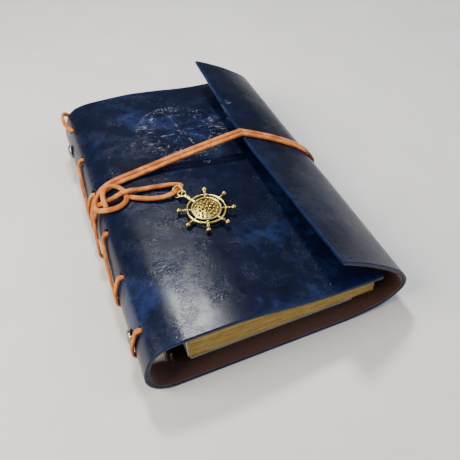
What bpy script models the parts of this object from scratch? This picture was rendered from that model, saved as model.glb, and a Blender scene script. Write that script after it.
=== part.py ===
"""Leather wrap journal with a six-ring binder, laced spine, cord closure and ship's wheel charm."""

import math

import bmesh
import bpy
from mathutils import Matrix, Vector

MM = 0.001

# Sizes, in millimetres. X runs from the spine to the fore edge, Y from tail to head, Z up.
COVER_LENGTH = 185.0
BOOK_DEPTH = 128.4
SPINE_TOP = 33.4
FRONT_EDGE_HEIGHT = 26.6
COVER_REACH = 114.0
FLAP_EDGE_X = 90.7
FLAP_EDGE_TAIL = 48.6
FLAP_EDGE_HEAD = 45.0
FLAP_EDGE_DIP = 37.0
COVER_THICK = 1.4
LINING_THICK = 0.5
GAP = 0.3
HINGE_GAP = 0.05
HINGE_TURN = 0.25

LACE_RADIUS = 0.85
HOLE_RADIUS = 2.3
HOLE_PITCH = 30.7
HOLE_COUNT = 6
BACK_HOLE_HEIGHT = 9.8
CLOSURE_OFFSET = 15.9
WRAP_OFFSET = 2.9
STRAND_BOW = 0.5
STRAND_PITCH = 2 * LACE_RADIUS + 1.4

RING_RADIUS = 10.6
RING_WIRE = 1.2
RING_SPACINGS = (-63.5, -44.5, -25.5, 25.5, 44.5, 63.5)
RING_HEIGHT = 16.5
SPINE_BULGE = 1.7
PLATE_LENGTH = 168.0
PLATE_HALF_WIDTH = 4.6
PLATE_RISE = 4.2
PLATE_THICK = 0.8
BLADE_THICK = 0.7
RIVET_OFFSET = 71.5
RIVET_HEAD_RADIUS = 4.2
RIVET_SHANK_RADIUS = 1.5

PAGE_LENGTH = 170.0
PAGE_WIDTH = 95.0
PAGE_TOP = 23.0
PAGE_MARGIN = 5.0
PAGE_HOLE_RADIUS = 2.75
POCKET_WIDTH = 83.0
POCKET_THICK = 0.8

WHEEL_RADIUS = 9.5
WHEEL_RIM = 1.15
HANDLE_REACH = 14.6
EYE_REACH = 16.2
EYE_RADIUS = 2.0
EYE_WIRE = 0.6
HUB_RADIUS = 6.8
HUB_RISE = 1.5
JUMP_RING_RADIUS = 3.0
JUMP_RING_WIRE = 0.45
JUMP_RING_TILT = 48.0

# Places that follow from the sizes.
LAYER_GAP = GAP + 0.15
SKIN = COVER_THICK + LAYER_GAP + LINING_THICK
MIDDLE_Y = COVER_LENGTH / 2
RIVET_HEAD_RISE = 1.8
ORIGIN = Vector(((BOOK_DEPTH - RIVET_HEAD_RISE) / 2, MIDDLE_Y, 0))
DENT = 2 * LACE_RADIUS + GAP
PLATE_BASE = SKIN + GAP + SPINE_BULGE
RING_X = PLATE_BASE + 1.7 + RING_RADIUS + 0.2
PAGE_LEFT = RING_X + PAGE_MARGIN
POCKET_BOTTOM = DENT + SKIN + 2 * GAP
PAGE_BOTTOM = POCKET_BOTTOM + POCKET_THICK + GAP
PAGE_MIDDLE = (PAGE_BOTTOM + PAGE_TOP) / 2
CLOSURE_Y = MIDDLE_Y + CLOSURE_OFFSET
WRAP_Y = MIDDLE_Y + WRAP_OFFSET
HOLE_YS = [MIDDLE_Y + HOLE_PITCH * (i - (HOLE_COUNT - 1) / 2) for i in range(HOLE_COUNT)]

for old in list(bpy.data.objects):
    bpy.data.objects.remove(old, do_unlink=True)

journal = bpy.data.collections.new("wrap_journal")
cutters = bpy.data.collections.new("cutters")
for group in (journal, cutters):
    bpy.context.scene.collection.children.link(group)


def make_material(name, color, roughness, metallic=0.0, alpha=1.0):
    material = bpy.data.materials.new(name)
    material.use_nodes = True
    shader = material.node_tree.nodes["Principled BSDF"]
    shader.inputs["Base Color"].default_value = (*color, 1.0)
    shader.inputs["Roughness"].default_value = roughness
    shader.inputs["Metallic"].default_value = metallic
    shader.inputs["Alpha"].default_value = alpha
    return material


LEATHER = ("navy_leather", (0.010, 0.016, 0.048), 0.32)
LINING = ("brown_lining", (0.060, 0.022, 0.012), 0.75)
SUEDE = ("tan_suede_lace", (0.52, 0.19, 0.065), 0.9)
PAPER = ("kraft_paper", (0.58, 0.43, 0.17), 0.85)
PLASTIC = ("clear_pocket", (0.75, 0.77, 0.76), 0.15, 0.0, 0.5)
STEEL = ("nickel_steel", (0.62, 0.60, 0.57), 0.25, 1.0)
BRASS = ("antique_brass", (0.42, 0.33, 0.12), 0.4, 1.0)


def finish(name, mesh, look, collection=journal, at=Vector((0, 0, 0)), smooth=35):
    """Puts a mesh into the scene; its points are in millimetres from the point `at`."""
    mesh.transform(Matrix.Scale(MM, 4))
    item = bpy.data.objects.new(name, mesh)
    item.location = (at - ORIGIN) * MM
    mesh.materials.append(make_material(look[0] + "_" + name, *look[1:]))
    mesh.shade_smooth()
    mesh.set_sharp_from_angle(angle=math.radians(smooth))
    collection.objects.link(item)
    if collection is cutters:
        item.hide_render = True
        item.display_type = "WIRE"
    return item


def cut(item, cutter):
    modifier = item.modifiers.new("cut_" + cutter.name, "BOOLEAN")
    modifier.operation = "DIFFERENCE"
    modifier.object = cutter


def smooth_line(points, spans=4):
    """A smooth curve through a few points, as a list of Vectors, each stretch cut into `spans`."""
    points = [Vector(p) for p in points]
    padded = [2 * points[0] - points[1], *points, 2 * points[-1] - points[-2]]
    line = []
    for before, a, b, after in zip(padded, padded[1:], padded[2:], padded[3:]):
        length = (b - a).length
        leave = (b - before).normalized() * length
        arrive = (after - a).normalized() * length
        for i in range(spans):
            t = i / spans
            line.append(
                a * (2 * t**3 - 3 * t**2 + 1)
                + leave * (t**3 - 2 * t**2 + t)
                + b * (3 * t**2 - 2 * t**3)
                + arrive * (t**3 - t**2)
            )
    line.append(points[-1])
    return line


def offset_line(line, distance):
    """The section moved towards the pages by `distance`."""
    moved = []
    for i, point in enumerate(line):
        along = (line[min(i + 1, len(line) - 1)] - line[max(i - 1, 0)]).normalized()
        moved.append(point + Vector((-along.y, along.x)) * distance)
    return moved


# The wrap's outer section as (x, z), from the front cover's free edge round to the flap's edge.
SHOULDER_CUT = (7.4, SPINE_TOP - 2.9)
HEEL_CUT = (2.0, 6.3)
FOLD_CUT = (BOOK_DEPTH - 2.2, 21.8)
FRONT_SECTION = [
    (COVER_REACH, FRONT_EDGE_HEIGHT),
    (COVER_REACH - 17, FRONT_EDGE_HEIGHT + 0.3),
    (COVER_REACH - 34, FRONT_EDGE_HEIGHT + 1.6),
    (COVER_REACH - 52, (FRONT_EDGE_HEIGHT + SPINE_TOP) / 2 + 0.9),
    (44.0, SPINE_TOP - 0.4),
    (27.0, SPINE_TOP),
    (17.5, SPINE_TOP - 0.1),
    (11.0, SPINE_TOP - 1.2),
    SHOULDER_CUT,
]
SPINE_SECTION = [
    SHOULDER_CUT,
    (4.3, SPINE_TOP - 5.9),
    (1.8, SPINE_TOP - 11.2),
    (0.5, RING_HEIGHT + 1.0),
    (0.1, RING_HEIGHT - 4.0),
    (0.6, 9.8),
    HEEL_CUT,
]
BACK_SECTION = [
    HEEL_CUT,
    (4.9, 2.9),
    (9.6, 0.7),
    (15.0, 0.0),
    (55.0, 0.0),
    (BOOK_DEPTH - 31, 0.0),
    (BOOK_DEPTH - 21, 1.0),
    (BOOK_DEPTH - 11.5, 3.0),
    (BOOK_DEPTH - 4.2, 7.4),
    (BOOK_DEPTH - 0.5, 11.8),
    (BOOK_DEPTH, 16.8),
    FOLD_CUT,
]
FLAP_SECTION = [
    FOLD_CUT,
    (BOOK_DEPTH - 6.2, 27.0),
    (BOOK_DEPTH - 18.8, 37.1),
    (FLAP_EDGE_X + 7.8, FLAP_EDGE_TAIL - 4.4),
    (FLAP_EDGE_X, FLAP_EDGE_TAIL),
]


def trimmed(line, start, end):
    """The section without its first and last stretch, so that neighbours don't touch."""
    line = list(line)
    for cut_off, a, b in ((start, 0, 1), (end, -1, -2)):
        if cut_off:
            way = (line[b] - line[a]).normalized()
            line[a] = line[a] + way * cut_off
    return line


def lift_over_strands(y, z, depth):
    """The dent that the closure strands press into the underside of the back cover."""
    middle = WRAP_Y + STRAND_PITCH / 2
    share = 1 - (abs(y - middle) - 3.6 - STRAND_PITCH / 2) / 7.0
    share = min(1.0, max(0.0, share))
    z = max(z, depth)
    return z + share * max(0.0, DENT + 0.1 + depth - z)


def pull_down(x, y, z):
    """The flap's free edge hangs lower where the closure strands hold it."""
    share = (FOLD_CUT[0] - x) / (FOLD_CUT[0] - FLAP_EDGE_X)
    share = min(1.15, max(0.0, share))
    hold = CLOSURE_Y + STRAND_PITCH / 2
    if y < hold:
        drop = (FLAP_EDGE_TAIL - FLAP_EDGE_DIP) * min(1.0, y / (hold - 4))
    else:
        far = (y - hold - 4) / (COVER_LENGTH - hold - 4)
        low = FLAP_EDGE_TAIL - FLAP_EDGE_DIP
        high = FLAP_EDGE_TAIL - FLAP_EDGE_HEAD
        drop = low + (high - low) * max(0.0, far)
    return z - drop * share


def wrap_sheet(name, line, thick, columns, look, bend=None, inset=0.0):
    """A sheet that follows a section, from tail to head, thickened towards the pages."""
    form = bmesh.new()
    first = [form.verts.new((p.x, inset, p.y)) for p in line]
    edges = [form.edges.new(pair) for pair in zip(first, first[1:])]
    at = inset
    for y in [*columns, COVER_LENGTH - inset]:
        made = bmesh.ops.extrude_edge_only(form, edges=edges)["geom"]
        verts = [g for g in made if isinstance(g, bmesh.types.BMVert)]
        edges = [g for g in made if isinstance(g, bmesh.types.BMEdge)]
        bmesh.ops.translate(form, verts=verts, vec=(0, y - at, 0))
        at = y
    bmesh.ops.recalc_face_normals(form, faces=form.faces)
    if bend:
        for vert in form.verts:
            vert.co.z = bend(*vert.co)
    middle = form.faces[:][len(form.faces) // 2]
    toward = Vector((BOOK_DEPTH / 2, MIDDLE_Y, PAGE_MIDDLE)) - middle.calc_center_median()
    if middle.normal.dot(toward) > 0:
        bmesh.ops.reverse_faces(form, faces=form.faces)
    mesh = bpy.data.meshes.new(name)
    form.to_mesh(mesh)
    form.free()
    item = finish(name, mesh, look)
    shell = item.modifiers.new("thickness", "SOLIDIFY")
    shell.thickness = thick * MM
    shell.offset = -1.0
    return item


def section(points, distance=0.0, start=0.0, end=0.0, spans=2):
    return trimmed(offset_line(smooth_line(points, spans), distance), start, end)


half = (HINGE_GAP + HINGE_TURN * COVER_THICK) / 2
band = WRAP_Y + STRAND_PITCH / 2
dent_columns = [band - 14, band - 9.8, band - 5.1, band + 5.1, band + 9.8, band + 14]
hold_y = CLOSURE_Y + STRAND_PITCH / 2
flap_columns = [hold_y / 3, 2 * hold_y / 3, hold_y - 4, hold_y + 4, (hold_y + COVER_LENGTH) / 2]
inner = COVER_THICK + LAYER_GAP
lining_end = half + 0.6

spine_columns = [y + HOLE_PITCH / 2 + 1.0 for y in HOLE_YS[:-1]]
front_cover = wrap_sheet(
    "front_cover", section(FRONT_SECTION, end=half), COVER_THICK, [], LEATHER
)
front_lining = wrap_sheet(
    "front_lining", section(FRONT_SECTION, inner, 0.8, lining_end), LINING_THICK, [], LINING,
    inset=0.5,
)
spine_cover = wrap_sheet(
    "spine_cover", section(SPINE_SECTION, 0, half, half), COVER_THICK, spine_columns, LEATHER
)
spine_lining = wrap_sheet(
    "spine_lining",
    section(SPINE_SECTION, inner, lining_end, lining_end),
    LINING_THICK,
    spine_columns,
    LINING,
    inset=0.5,
)
back_cover = wrap_sheet(
    "back_cover",
    section(BACK_SECTION, 0, half, half),
    COVER_THICK,
    dent_columns,
    LEATHER,
    lambda x, y, z: lift_over_strands(y, z, 0.0),
)
back_lining = wrap_sheet(
    "back_lining",
    section(BACK_SECTION, inner, lining_end, lining_end),
    LINING_THICK,
    dent_columns,
    LINING,
    lambda x, y, z: lift_over_strands(y, z, inner + GAP),
    0.5,
)
flap = wrap_sheet(
    "flap", section(FLAP_SECTION, 0, half), COVER_THICK, flap_columns, LEATHER, pull_down
)
flap_lining = wrap_sheet(
    "flap_lining",
    section(FLAP_SECTION, inner, lining_end, 0.8),
    LINING_THICK,
    flap_columns,
    LINING,
    pull_down,
    0.5,
)


def turned(name, profile, look, at, steps=14):
    """A round piece along X: (radius, distance) points from its outer end inwards."""
    form = bmesh.new()
    verts = [form.verts.new((r, 0, h)) for r, h in profile]
    for pair in zip(verts, verts[1:]):
        form.edges.new(pair)
    bmesh.ops.spin(
        form,
        geom=form.verts[:] + form.edges[:],
        cent=(0, 0, 0),
        axis=(0, 0, 1),
        angle=math.tau,
        steps=steps,
        use_merge=True,
    )
    bmesh.ops.remove_doubles(form, verts=form.verts, dist=1e-5)
    bmesh.ops.recalc_face_normals(form, faces=form.faces)
    bmesh.ops.transform(form, matrix=Matrix.Rotation(math.pi / 2, 4, "Y"), verts=form.verts)
    mesh = bpy.data.meshes.new(name)
    form.to_mesh(mesh)
    form.free()
    return finish(name, mesh, look, at=at)


def rod(name, start, end, radius, steps=10):
    """A plain cylinder between two points, to cut a hole with."""
    start, end = Vector(start), Vector(end)
    form = bmesh.new()
    bmesh.ops.create_cone(
        form, cap_ends=True, segments=steps, radius1=radius, radius2=radius,
        depth=(end - start).length,
    )
    turn = (end - start).to_track_quat("Z", "Y").to_matrix().to_4x4()
    bmesh.ops.transform(form, matrix=turn, verts=form.verts)
    mesh = bpy.data.meshes.new(name)
    form.to_mesh(mesh)
    form.free()
    return finish(name, mesh, STEEL, cutters, (start + end) / 2)


def circle(radius, steps):
    """Points round a circle in the XY plane."""
    return [
        Vector((radius * math.cos(math.tau * i / steps), radius * math.sin(math.tau * i / steps), 0))
        for i in range(steps)
    ]


def tube_mesh(name, line, radius, closed=False, resolution=2):
    """A round bar along a line of points, as one closed mesh."""
    curve = bpy.data.curves.new(name, "CURVE")
    curve.dimensions = "3D"
    curve.bevel_depth = radius
    curve.bevel_resolution = resolution
    curve.use_fill_caps = not closed
    spline = curve.splines.new("POLY")
    spline.points.add(len(line) - 1)
    for point, place in zip(spline.points, line):
        point.co = (*place, 1.0)
    spline.use_cyclic_u = closed
    guide = bpy.data.objects.new(name + "_guide", curve)
    journal.objects.link(guide)
    graph = bpy.context.evaluated_depsgraph_get()
    mesh = bpy.data.meshes.new_from_object(guide.evaluated_get(graph))
    bpy.data.objects.remove(guide, do_unlink=True)
    form = bmesh.new()
    form.from_mesh(mesh)
    bmesh.ops.remove_doubles(form, verts=form.verts, dist=1e-4)
    bmesh.ops.recalc_face_normals(form, faces=form.faces)
    form.to_mesh(mesh)
    form.free()
    mesh.name = name
    return mesh


# Six-ring mechanism: an arched plate, two sprung blades and pairs of half rings.
ring_ys = [MIDDLE_Y + offset for offset in RING_SPACINGS]
plate_start = MIDDLE_Y - PLATE_LENGTH / 2
arch = [
    (
        PLATE_BASE + PLATE_RISE * math.sin(math.pi * i / 10),
        RING_HEIGHT + PLATE_HALF_WIDTH * math.cos(math.pi * i / 10),
    )
    for i in range(11)
]
form = bmesh.new()
row = [form.verts.new((x, plate_start, z)) for x, z in arch]
edges = [form.edges.new(pair) for pair in zip(row, row[1:])]
made = bmesh.ops.extrude_edge_only(form, edges=edges)["geom"]
bmesh.ops.translate(
    form, verts=[g for g in made if isinstance(g, bmesh.types.BMVert)], vec=(0, PLATE_LENGTH, 0)
)
bmesh.ops.recalc_face_normals(form, faces=form.faces)
if form.faces[:][5].normal.x < 0:
    bmesh.ops.reverse_faces(form, faces=form.faces)
plate_mesh = bpy.data.meshes.new("ring_plate")
form.to_mesh(plate_mesh)
form.free()
ring_plate = finish("ring_plate", plate_mesh, STEEL)
shell = ring_plate.modifiers.new("thickness", "SOLIDIFY")
shell.thickness = PLATE_THICK * MM
shell.offset = -1.0


def ring_arc(side, start, end, steps):
    """Points of a ring's centreline; angles run from the spine side round to the split."""
    return [
        Vector(
            (
                RING_X - RING_RADIUS * math.cos(start + (end - start) * i / steps),
                0,
                side * RING_RADIUS * math.sin(start + (end - start) * i / steps),
            )
        )
        for i in range(steps + 1)
    ]


blade_inner = 0.3
blade_outer = 2.3
blade_x = PLATE_BASE + 1.4
pivot_x = blade_x + BLADE_THICK / 2
pivot_drop = 4.2
foot_angle = math.asin((blade_outer + GAP + 0.1) / RING_RADIUS)
split = 0.15 / RING_RADIUS
for side, side_name in ((1, "upper"), (-1, "lower")):
    pivot = Vector((pivot_x, MIDDLE_Y, RING_HEIGHT + side * pivot_drop))
    holder = bpy.data.objects.new("ring_pivot_" + side_name, None)
    holder.location = (pivot - ORIGIN) * MM
    journal.objects.link(holder)
    blade_form = bmesh.new()
    bmesh.ops.create_cube(blade_form, size=1.0)
    blade_length = ring_ys[-1] - ring_ys[0] + 6.0
    bmesh.ops.scale(
        blade_form, vec=(BLADE_THICK, blade_length, blade_outer - blade_inner),
        verts=blade_form.verts,
    )
    blade_mesh = bpy.data.meshes.new("blade_" + side_name)
    blade_form.to_mesh(blade_mesh)
    blade_form.free()
    middle = Vector((pivot_x, MIDDLE_Y, RING_HEIGHT + side * (blade_inner + blade_outer) / 2))
    blade = finish("ring_blade_" + side_name, blade_mesh, STEEL, at=middle)
    blade.parent = holder
    blade.location = (middle - pivot) * MM
    for number, y in enumerate(ring_ys, 1):
        name = f"ring_{number}_{side_name}"
        arc = ring_arc(side, foot_angle, math.pi - split, 10)
        centre = Vector((0, y, RING_HEIGHT))
        half_ring = finish(name, tube_mesh(name, arc, RING_WIRE, False, 1), STEEL, at=centre)
        half_ring.parent = holder
        half_ring.location = (centre - pivot) * MM


def ring_channel(name, y, radius, start=0.0):
    """A round channel along a ring's path, to cut the leaves and the plate."""
    arc = ring_arc(1, -math.pi + start, math.pi + start, 24)[:-1]
    centre = Vector((0, y, RING_HEIGHT))
    return finish(name, tube_mesh(name, arc, radius, True, 1), STEEL, cutters, centre)


for number, y in enumerate(ring_ys, 1):
    for way in (1, -1):
        size = Vector((6.0, 2 * (RING_WIRE + 0.7), 4.0))
        form = bmesh.new()
        bmesh.ops.create_cube(form, size=1.0)
        bmesh.ops.scale(form, vec=size, verts=form.verts)
        mesh = bpy.data.meshes.new("plate_slot")
        form.to_mesh(mesh)
        form.free()
        place = Vector((PLATE_BASE + 0.9 + size.x / 2, y, RING_HEIGHT + way * (blade_outer + 2.0)))
        cut(ring_plate, finish(f"plate_slot_{number}_{way + 2}", mesh, STEEL, cutters, place))

rivet_ys = [MIDDLE_Y - RIVET_OFFSET, MIDDLE_Y + RIVET_OFFSET]
plate_crown = PLATE_BASE + PLATE_RISE
for name, y in zip(("tail", "head"), rivet_ys):
    dome = [(0.0, -RIVET_HEAD_RISE)]
    for i in range(1, 4):
        turn = math.pi / 2 * i / 3
        dome.append(
            (RIVET_HEAD_RADIUS * math.sin(turn), -0.35 - 1.45 * math.cos(turn))
        )
    shank = RIVET_SHANK_RADIUS
    clinch = plate_crown + GAP
    profile = [
        *dome,
        (RIVET_HEAD_RADIUS - 0.3, -0.25),
        (shank, -0.25),
        (shank, clinch),
        (2.6, clinch),
        (2.6, clinch + 0.5),
        (2.0, clinch + 0.9),
        (0.0, clinch + 1.0),
    ]
    turned("rivet_" + name, profile, STEEL, Vector((0, y, RING_HEIGHT)))
    hole = rod(
        "rivet_hole_" + name, (-3, y, RING_HEIGHT), (plate_crown + 3, y, RING_HEIGHT),
        shank + GAP,
    )
    for item in (spine_cover, spine_lining, ring_plate):
        cut(item, hole)

# Trigger levers at both ends of the plate.
lever_width = 8.0
lever_thick = 1.0
lever_curve = ((0.0, 0.0), (3.2, 0.2), (5.6, 0.8), (7.2, 1.8), (8.2, 3.2))
for name, way in (("tail", -1), ("head", 1)):
    end_y = MIDDLE_Y + way * PLATE_LENGTH / 2
    pivot = Vector((PLATE_BASE + 1.2, end_y + way * (GAP + 0.6), RING_HEIGHT))
    outline = smooth_line([(x, way * y) for x, y in lever_curve], 2)
    form = bmesh.new()
    row = [form.verts.new((p.x, p.y, -lever_width / 2)) for p in outline]
    edges = [form.edges.new(pair) for pair in zip(row, row[1:])]
    made = bmesh.ops.extrude_edge_only(form, edges=edges)["geom"]
    verts = [g for g in made if isinstance(g, bmesh.types.BMVert)]
    bmesh.ops.translate(form, verts=verts, vec=(0, 0, lever_width))
    bmesh.ops.recalc_face_normals(form, faces=form.faces)
    mesh = bpy.data.meshes.new("ring_lever_" + name)
    form.to_mesh(mesh)
    form.free()
    lever = finish("ring_lever_" + name, mesh, STEEL, at=pivot)
    shell = lever.modifiers.new("thickness", "SOLIDIFY")
    shell.thickness = lever_thick * MM
    shell.offset = 0.0


def block(name, low, high, look, bevel=0.0):
    """A box between two corners, with softened edges."""
    low, high = Vector(low), Vector(high)
    form = bmesh.new()
    bmesh.ops.create_cube(form, size=1.0)
    bmesh.ops.scale(form, vec=high - low, verts=form.verts)
    if bevel:
        bmesh.ops.bevel(
            form, geom=form.edges[:], offset=bevel, segments=1, profile=0.5,
            affect="EDGES",
        )
    mesh = bpy.data.meshes.new(name)
    form.to_mesh(mesh)
    form.free()
    return finish(name, mesh, look, at=(low + high) / 2)


# Leaves on the rings: the kraft pages in two halves and a clear zip pocket under them.
page_low = MIDDLE_Y - PAGE_LENGTH / 2
page_high = MIDDLE_Y + PAGE_LENGTH / 2
page_right = PAGE_LEFT + PAGE_WIDTH
pages_lower = block(
    "pages_lower", (PAGE_LEFT, page_low, PAGE_BOTTOM),
    (page_right, page_high, PAGE_MIDDLE - GAP / 2), PAPER, 0.3,
)
pages_upper = block(
    "pages_upper", (PAGE_LEFT, page_low, PAGE_MIDDLE + GAP / 2),
    (page_right, page_high, PAGE_TOP), PAPER, 0.3,
)
pocket_right = PAGE_LEFT + POCKET_WIDTH
zip_pocket = block(
    "zip_pocket", (PAGE_LEFT + 0.6, page_low, POCKET_BOTTOM),
    (pocket_right, page_high, POCKET_BOTTOM + POCKET_THICK), PLASTIC,
)
for number, y in enumerate(ring_ys, 1):
    channel = ring_channel(f"page_hole_{number}", y, PAGE_HOLE_RADIUS, math.pi / 24)
    for item in (pages_lower, pages_upper, zip_pocket):
        cut(item, channel)
zip_slider = block(
    "zip_slider",
    (pocket_right + GAP, page_low + 14, POCKET_BOTTOM - 0.1),
    (pocket_right + GAP + 4.4, page_low + 22, POCKET_BOTTOM + POCKET_THICK), STEEL, 0.2,
)


# Lace holes in two columns along the spine, and the lace through them.
def spine_frame(points, height):
    """The point of a section at a height and the direction out of it."""
    line = smooth_line(points, 12)
    i = min(range(1, len(line) - 1), key=lambda k: abs(line[k].y - height))
    along = (line[i + 1] - line[i - 1]).normalized()
    return line[i], Vector((along.y, -along.x))


front_hole, front_out = spine_frame(SPINE_SECTION, SPINE_TOP - 5.9)
back_hole, back_out = spine_frame(SPINE_SECTION, BACK_HOLE_HEIGHT)


def off_hole(hole, out, distance, y):
    place = hole + out * distance
    return Vector((place.x, y, place.y))


for number, y in enumerate(HOLE_YS, 1):
    for column, hole, out in (("front", front_hole, front_out), ("back", back_hole, back_out)):
        cutter = rod(
            f"lace_hole_{column}_{number}",
            off_hole(hole, out, -SKIN - 2.5, y),
            off_hole(hole, out, 2.5, y),
            HOLE_RADIUS,
        )
        cut(spine_cover, cutter)
        cut(spine_lining, cutter)

lace_deep = -2.8
lace_out = LACE_RADIUS + 0.55


def spine_run(start_y, end_y, start_depth=lace_deep, end_depth=lace_deep, bulge=0.0):
    """A lace run over the outside of the spine between the two columns, through the holes."""
    line = offset_line(smooth_line(SPINE_SECTION, 2), -lace_out - bulge)
    heights = (front_hole.y, back_hole.y)
    span = [p for p in line if back_hole.y + 1.8 < p.y < front_hole.y - 1.5]
    points = [off_hole(front_hole, front_out, start_depth, start_y)]
    if start_depth < 0:
        points.append(off_hole(front_hole, front_out, 0.0, start_y))
    for p in span:
        share = (heights[0] - 2.5 - p.y) / (heights[0] - heights[1] - 6.5)
        share = min(1.0, max(0.0, share))
        points.append(Vector((p.x, start_y + (end_y - start_y) * share, p.y)))
    points.append(off_hole(back_hole, back_out, 0.0, end_y))
    points.append(off_hole(back_hole, back_out, end_depth, end_y))
    return smooth_line(points, 1)


def lace(name, points, radius=LACE_RADIUS):
    return finish(name, tube_mesh(name, points, radius), SUEDE)


y1, y2, y3, y4, y5, y6 = HOLE_YS
side = LACE_RADIUS + GAP / 2
lace("lace_stitch_1", spine_run(y1, y1))
lace("lace_stitch_2", spine_run(y2, y2 - side))
lace("lace_diagonal_3", spine_run(y3 - side, y2 + side))
lace("lace_stitch_4", spine_run(y4 - side, y4 - side))
lace("lace_diagonal_5", spine_run(y5, y4 + side))
lace("lace_return_3", spine_run(WRAP_Y - 3.4, y3 + side, lace_out, lace_deep, 0.4))
head_loop = smooth_line(
    [
        off_hole(front_hole, front_out, lace_deep, y6),
        off_hole(front_hole, front_out, 0.4, y6 + 0.2),
        off_hole(front_hole, front_out, 3.0, y6 + 3.2),
        off_hole(front_hole, front_out, 4.0, y6 + 9.0),
        off_hole(front_hole, front_out, 2.6, COVER_LENGTH + 1.6),
        off_hole(front_hole, front_out, -1.0, COVER_LENGTH + 2.4),
        off_hole(front_hole, front_out, -3.6, COVER_LENGTH - 1.2),
        off_hole(front_hole, front_out, -4.0, COVER_LENGTH - 7.0),
    ],
    2,
)
lace("lace_head_loop", head_loop)

# The closure: two strands side by side, in four stretches each, that ride on what they lie on.
reach = LACE_RADIUS + GAP


def flap_top(x, y):
    """The height of the flap's outer surface."""
    line = smooth_line(FLAP_SECTION, 8)
    for a, b in zip(line, line[1:]):
        if b.x <= x <= a.x:
            z = a.y + (b.y - a.y) * (a.x - x) / (a.x - b.x)
            return pull_down(x, y, z)
    return pull_down(line[-1].x, y, line[-1].y)


def strand_routes(shift):
    """The four stretches of one strand."""
    start_y = CLOSURE_Y - 4.6 + shift
    hold_z = flap_top(FLAP_EDGE_X, CLOSURE_Y + shift) + reach + 0.2
    first = Vector((27.0, start_y, SPINE_TOP + reach + 0.1))
    hold = Vector((FLAP_EDGE_X - 0.6, CLOSURE_Y + shift, hold_z))
    front = []
    for i in range(9):
        bow = Vector((0, 0, STRAND_BOW * math.sin(math.pi * i / 8)))
        front.append(first.lerp(hold, i / 8) + bow)
    over = []
    for past_edge in (0.2, 8.0, 16.0, 24.0, FOLD_CUT[0] - 6 - FLAP_EDGE_X):
        x = FLAP_EDGE_X + past_edge
        share = (x - FLAP_EDGE_X) / (BOOK_DEPTH - FLAP_EDGE_X)
        y = CLOSURE_Y + shift + (WRAP_Y - CLOSURE_Y) * share
        over.append(Vector((x, y, flap_top(x, y) + reach + 0.35)))
    over.append(Vector((FOLD_CUT[0] + 0.9, WRAP_Y + shift + 0.8, FOLD_CUT[1] + 1.2)))
    outside = offset_line(smooth_line(BACK_SECTION, 2), -reach - 0.1)
    under = [Vector((p.x, WRAP_Y + shift, max(p.y, LACE_RADIUS + 0.02))) for p in reversed(outside)]
    under = under[1:-1]
    back = offset_line(smooth_line(SPINE_SECTION, 2), -reach - 0.1)
    rise = []
    for p in reversed(back):
        if HEEL_CUT[1] + 0.6 < p.y:
            share = (p.y - 14) / (SPINE_TOP - 14)
            y = WRAP_Y + shift + 6.0 * max(0.0, share) ** 2
            rise.append(Vector((p.x, y, p.y)))
    return front, over, under, rise


for letter, shift in (("a", 0.0), ("b", STRAND_PITCH)):
    front, over, under, rise = strand_routes(shift)
    lace("closure_front_" + letter, front)
    lace("closure_flap_" + letter, smooth_line(over, 2))
    lace("closure_back_" + letter, under)
    lace("closure_spine_" + letter, rise)

# The slip knot on the shoulder, as a plain rounded solid, and the loop that carries the charm.
KNOT_SIZE = (8.4, 9.0, 2.6)
knot_at = Vector((16.6, WRAP_Y + 3.4, SPINE_TOP + 3.0))
form = bmesh.new()
bmesh.ops.create_uvsphere(form, u_segments=16, v_segments=8, radius=1.0)
bmesh.ops.scale(form, vec=KNOT_SIZE, verts=form.verts)
mesh = bpy.data.meshes.new("closure_knot")
form.to_mesh(mesh)
form.free()
finish("closure_knot", mesh, SUEDE, at=knot_at)

EYE = Vector((45.3, WRAP_Y - 16.0, SPINE_TOP + 2.6))
toward_charm = Vector((0.49, -0.87, -0.065)).normalized()
level = Vector((toward_charm.x, toward_charm.y, 0)).normalized()
across = Vector((-level.y, level.x, 0))
ring_at = EYE - level * JUMP_RING_RADIUS

loop_z = SPINE_TOP + 1.4
pull = ring_at - level * 1.2
tail_line = smooth_line(
    [
        (27.2, WRAP_Y - 1.8, loop_z),
        (33.0, WRAP_Y - 3.2, loop_z),
        (39.5, WRAP_Y - 4.8, loop_z + 0.2),
        (45.6, WRAP_Y - 7.0, loop_z + 0.5),
        (47.6, WRAP_Y - 9.8, loop_z + 0.9),
        (*(pull + across * 2.6).xy, SPINE_TOP + 2.5),
        (*(pull - across * 2.6).xy, SPINE_TOP + 2.5),
        (36.4, WRAP_Y - 12.8, loop_z + 0.4),
        (30.8, WRAP_Y - 10.8, loop_z),
        (25.4, WRAP_Y - 7.6, loop_z),
    ],
    2,
)
lace("charm_loop", tail_line)

tilt = math.radians(JUMP_RING_TILT)
ring_up = (across * math.cos(tilt) + Vector((0, 0, 1)) * math.sin(tilt)).normalized()
ring_line = [level * p.x + ring_up * p.y for p in circle(JUMP_RING_RADIUS, 16)]
finish("jump_ring", tube_mesh("jump_ring", ring_line, JUMP_RING_WIRE, True, 1), BRASS, at=ring_at)


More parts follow.
